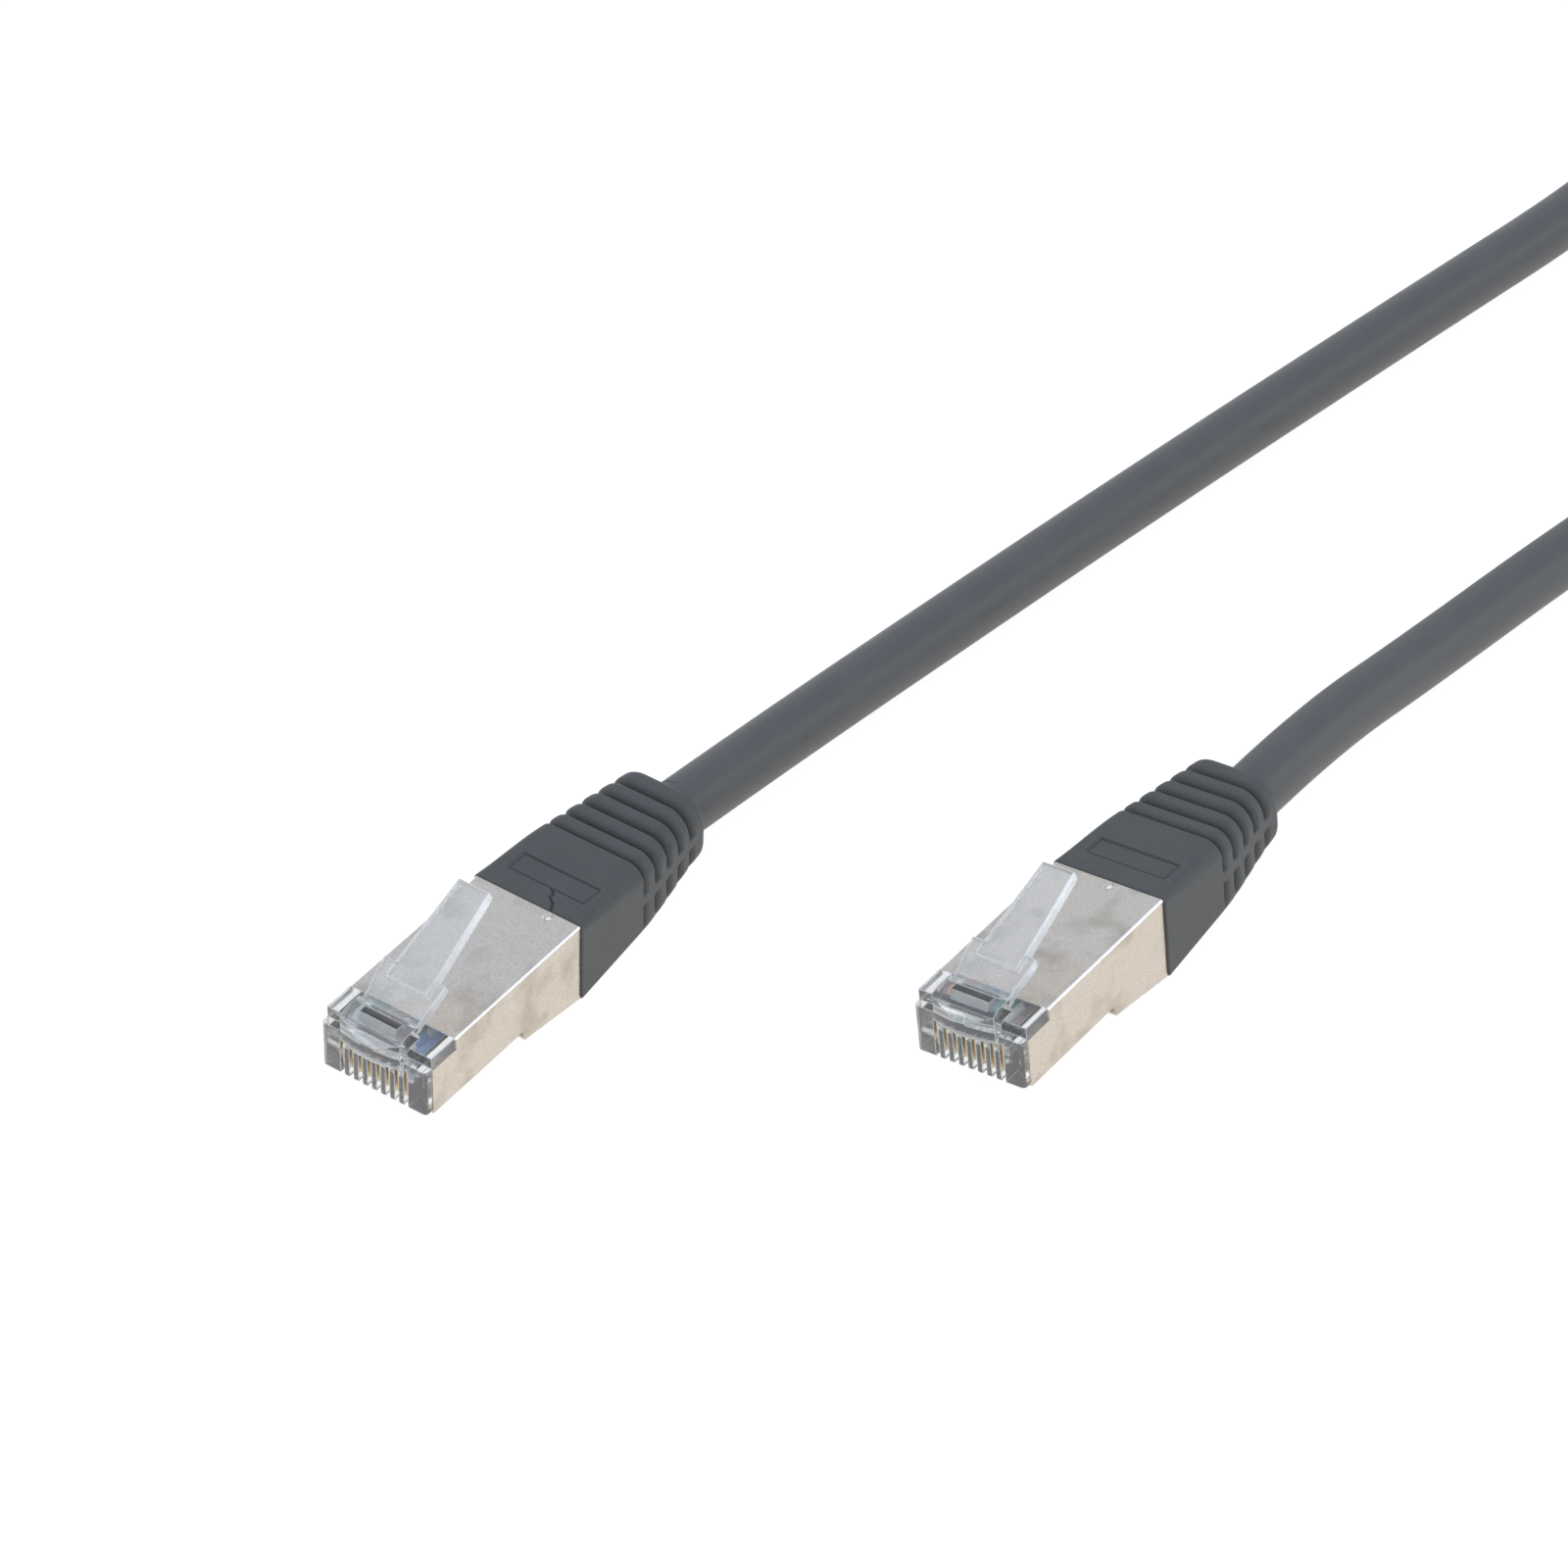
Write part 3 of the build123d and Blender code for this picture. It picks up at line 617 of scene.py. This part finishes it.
def label_depth(y, x, z):
    """How deep the blank label panel and the fine line round it are at a point of the roof."""
    if z < BOOT_AXIS_Z:
        return 0.0
    out_x, out_y = abs(x) - LABEL_HALF[0], abs(y - LABEL_MID_Y) - LABEL_HALF[1]
    edge = max(out_x, out_y)
    line = 1 - smooth(abs(edge), *LABEL_LINE_HALF)
    return LABEL_DEPTH * (1 - smooth(edge, -LABEL_EDGE, LABEL_EDGE)) + LABEL_LINE * line


def split_depth(y, x, z):
    """How deep the small jagged split between the label and the metal is at a point."""
    if z < BOOT_AXIS_Z or y > SPLIT[0][1] + SPLIT_HALF[1]:
        return 0.0
    point = Vector((x, y))
    nearest = math.inf
    for start, stop in zip(SPLIT, SPLIT[1:]):
        first, along = Vector(start), Vector(stop) - Vector(start)
        share = between((point - first).dot(along) / along.length_squared, 0, 1)
        nearest = min(nearest, (point - first - along * share).length)
    return SPLIT_DEPTH * (1 - smooth(nearest, *SPLIT_HALF))


def spaced(start, gap, steps):
    """Places at a gap from each other, counted in steps from start."""
    return {round(start + gap * step, 3) for step in steps}


def boot_stations():
    """Places along the boot, closer together at the split, the creases and the label's edges."""
    places = spaced(BOOT_FRONT_Y, PLAIN_GAP, range(1, 77))
    places |= spaced(SPLIT_FROM_Y, SPLIT_GAP, range(29))
    for groove in GROOVES_Y:
        places |= spaced(groove, GROOVE_GAP, range(-12, 16))
    for edge in (LABEL_MID_Y - LABEL_HALF[1], LABEL_MID_Y + LABEL_HALF[1]):
        places |= spaced(edge, LABEL_GAP, range(-5, 6))
    kept = [BOOT_FRONT_Y + FRONT_ROUND]
    for place in sorted(places):
        if place < BOOT_END_Y - END_ROUND and place - kept[-1] > LEAST_GAP:
            kept.append(place)
    return kept[1:]


def boot_rings():
    """Distance along and inset of each ring of the outer skin."""
    rings = []
    turns = [math.pi / 2 * step / ROUND_STEPS for step in range(ROUND_STEPS + 1)]
    for turn in turns:
        y = BOOT_FRONT_Y + FRONT_ROUND * (1 - math.cos(turn))
        rings.append((y, FRONT_ROUND * (1 - math.sin(turn))))
    rings += [(y, 0.0) for y in boot_stations()]
    for turn in turns:
        y = BOOT_END_Y - END_ROUND * (1 - math.sin(turn))
        rings.append((y, END_ROUND * (1 - math.cos(turn))))
    return rings


def make_boot_mesh(split):
    """Closed boot in its plug's frame: ribbed skin, rear face, bore for the jacket, front face."""
    rings = []
    for y, inset in boot_rings():
        points = []
        for x, z, nx, nz in boot_ring(y, inset):
            depth = groove_depth(y, x, z) + label_depth(y, x, z)
            if split:
                depth += split_depth(y, x, z)
            points.append((x - nx * depth, y, z - nz * depth))
        rings.append(points)

    def circle(radius, y):
        points = []
        for x, _, z in rings[-1]:
            away = math.hypot(x, z - BOOT_AXIS_Z)
            points.append((x / away * radius, y, BOOT_AXIS_Z + (z - BOOT_AXIS_Z) / away * radius))
        return points

    rear = rings[-1]
    for share in (0.4, 0.8):
        target = circle(BORE_R + MOUTH_R, BOOT_END_Y)
        rings.append([tuple(Vector(a).lerp(Vector(b), share)) for a, b in zip(rear, target)])
    for step in range(MOUTH_STEPS + 1):
        turn = math.pi / 2 * step / MOUTH_STEPS
        y = BOOT_END_Y - MOUTH_R * (1 - math.cos(turn))
        rings.append(circle(BORE_R + MOUTH_R * (1 - math.sin(turn)), y))
    rings.append(circle(BORE_R, BORE_FRONT_Y))
    rings.append(circle(RING_BORE_R, RING_BORE_Y[1]))
    rings.append(circle(RING_BORE_R, RING_BORE_Y[0]))
    inner = boot_ring(BOOT_FRONT_Y, FRONT_WALL)
    rings.append([(x, BOOT_FRONT_Y, z) for x, z, _, _ in inner])

    mesh = bpy.data.meshes.new("boot")
    work = bmesh.new()
    made = [[work.verts.new((x * MM, y * MM, z * MM)) for x, y, z in ring] for ring in rings]
    for first, second in zip(made, made[1:] + made[:1]):
        for index in range(len(first)):
            after = (index + 1) % len(first)
            work.faces.new((first[index], first[after], second[after], second[index]))
    bmesh.ops.recalc_face_normals(work, faces=work.faces)
    for face in work.faces:
        face.smooth = True
    work.to_mesh(mesh)
    work.free()
    return mesh


def make_boots(material):
    """Both boots, standing for their CAD solids; boot A has a small split by its label."""
    for end in ENDS:
        mesh = make_boot_mesh(split=end == "a")
        mesh.materials.append(material)
        mesh.transform(plug_matrix(end))
        boot = link(f"boot_{end}_ribbed", mesh)
        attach(boot, "root")
        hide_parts(f"boot_{end}")


# ---------------------------------------------------------------- tie round the coil
def sweep(work, path, section, closed):
    """Sweeps a section of (across, outward) offsets along a path of (point, across, outward)."""
    rings = []
    for point, across, outward in path:
        rings.append([work.verts.new((point + across * a + outward * b) * MM) for a, b in section])
    pairs = list(zip(rings, rings[1:] + rings[:1] if closed else rings[1:]))
    for first, second in pairs:
        for index in range(len(first)):
            after = (index + 1) % len(first)
            work.faces.new((first[index], first[after], second[after], second[index]))
    if not closed:
        work.faces.new(rings[0])
        work.faces.new(rings[-1])


def hull_path(strands, gap):
    """Closed way round strands given as (y, z), at gap outside them, as points and normals."""
    path = []
    for step in range(TIE_STEPS):
        turn = math.tau * step / TIE_STEPS
        outward = Vector((0, math.cos(turn), math.sin(turn)))
        y, z = max(strands, key=lambda strand: strand[0] * outward.y + strand[1] * outward.z)
        path.append((Vector((0, y, z)) + outward * gap, Vector((1, 0, 0)), outward))
    return path


def tie_strands():
    """Distance from the coil's middle and height of the cord where it passes under the tie."""
    first = (coil_angle(ROUTE_A[-1]) - math.pi / 2) % math.tau / math.tau
    strands = []
    for passing in range(WHOLE_TURNS + 1):
        radius, z = coil_at(first + passing)
        strands.append((radius / MM, z / MM))
    return strands


def twist_path(start, phase):
    """Way of one of the twisted ends from the top of the tie, inwards and down."""
    path = []
    for step in range(TWIST_STEPS):
        along = step / (TWIST_STEPS - 1)
        inwards = TWIST_START[0] + TWIST_LENGTH * along
        rise = TWIST_START[1] + TWIST_RISE * math.sin(math.pi * along) - TWIST_DROP * along**2
        turn = phase + TWIST_TURNS * math.tau * along
        across = Vector((math.cos(turn), 0, math.sin(turn)))
        outward = Vector((-math.sin(turn), 0, math.cos(turn)))
        spread = TWIST_R + TWIST_FLARE * smooth(along, 0.86, 1.0)
        path.append((start + Vector((0, -inwards, rise)) + across * spread, across, outward))
    return path


def make_tie(material):
    """Flat vinyl tie with a wire core round the coil's strands, its two ends twisted together."""
    path = []
    for point, across, outward in hull_path(tie_strands(), CORD_DIAMETER / MM / 2 - TIE_OVERLAP):
        point.z = max(point.z, TIE_LOW_Z)
        path.append((point, across, outward))
    work = bmesh.new()
    sweep(work, path, TIE_SECTION, closed=True)
    high = max(path, key=lambda row: row[0].z)[0]
    turns = [math.tau * side / STRAND_SIDES for side in range(STRAND_SIDES)]
    strand = [(STRAND_HALF[0] * math.cos(t), STRAND_HALF[1] * math.sin(t)) for t in turns]
    for phase in (0, math.pi):
        sweep(work, twist_path(high, phase), strand, closed=False)
    bmesh.ops.recalc_face_normals(work, faces=work.faces)
    for face in work.faces:
        face.smooth = True
    mesh = bpy.data.meshes.new("twist_tie")
    work.to_mesh(mesh)
    work.free()
    mesh.transform(Matrix.Translation((COIL_X, COIL_Y, 0)))
    mesh.materials.append(material)
    tie = link("twist_tie", mesh)
    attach(tie, "root")
    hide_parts("coil_tie")
    return tie


# ---------------------------------------------------------------- stage
def make_floor():
    """Plain pale floor."""
    mesh = bpy.data.meshes.new("floor")
    side, drop = 4.0, -0.00003
    corners = [(-side, -side, drop), (side, -side, drop), (side, side, drop), (-side, side, drop)]
    mesh.from_pydata(corners, [], [(0, 1, 2, 3)])
    material, _, _ = principled("pale_floor", {
        "Base Color": (0.14, 0.14, 0.14, 1.0),
        "Roughness": 0.9,
        "Emission Color": (1.0, 1.0, 1.0, 1.0),
        "Emission Strength": 0.93,
    })
    mesh.materials.append(material)
    link("floor", mesh)


def make_light(name, towards, distance, size, power, colour=(1, 1, 1)):
    """Square soft light at a distance from the plugs, in the given direction, facing them."""
    data = bpy.data.lights.new(name, "AREA")
    data.shape = "SQUARE"
    data.size = size
    data.energy = power
    data.color = colour
    light = link(name, data)
    aim = Vector((0.03, 0.03, 0.0))
    direction = Vector(towards).normalized()
    light.location = aim + direction * distance
    light.rotation_mode = "QUATERNION"
    light.rotation_quaternion = direction.to_track_quat("Z", "Y")


def make_world():
    """Even pale surroundings, a little cooler overhead than at the horizon."""
    world = bpy.data.worlds.new("studio")
    world.use_nodes = True
    bpy.context.scene.world = world
    tree = world.node_tree
    background = next(node for node in tree.nodes if node.type == "BACKGROUND")
    place = tree.nodes.new("ShaderNodeTexCoord")
    parts = tree.nodes.new("ShaderNodeSeparateXYZ")
    tree.links.new(place.outputs["Generated"], parts.inputs["Vector"])
    high = ranged(tree, parts.outputs["Z"], 0, 1, 0.1, 0.6)
    sky = tinted(tree, high, (0.93, 0.93, 0.93), (0.76, 0.87, 1.05))
    tree.links.new(sky, background.inputs["Color"])
    background.inputs["Strength"].default_value = 1.0


# ---------------------------------------------------------------- the scene
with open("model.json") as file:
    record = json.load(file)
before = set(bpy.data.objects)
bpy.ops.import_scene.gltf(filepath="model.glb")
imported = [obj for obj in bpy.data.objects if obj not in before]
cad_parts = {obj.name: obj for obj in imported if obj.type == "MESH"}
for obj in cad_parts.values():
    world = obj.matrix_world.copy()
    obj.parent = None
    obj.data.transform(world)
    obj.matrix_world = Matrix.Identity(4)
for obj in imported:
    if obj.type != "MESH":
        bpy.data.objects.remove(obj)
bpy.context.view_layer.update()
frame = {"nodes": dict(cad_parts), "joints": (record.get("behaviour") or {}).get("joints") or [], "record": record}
make_camera()
materials = make_materials()
cord = make_cord(materials["cable_jacket"])
tie = make_tie(materials["tie_vinyl"])
for part in frame["record"]["subparts"]:
    dress(frame["nodes"][part["node"]], materials[part["material_slot"]])
dress_plugs()
make_boots(materials["boot_pvc"])
make_floor()
make_light("key", (0.65, 0.63, 0.46), 1.2, 0.30, 1.1)
make_light("fill", (0.6, -0.8, 0.6), 1.5, 0.6, 0.3)
make_light("rim", (-0.8, -0.1, 0.65), 1.3, 0.35, 1.2)
make_world()
bpy.context.scene.view_settings.view_transform = "Standard"
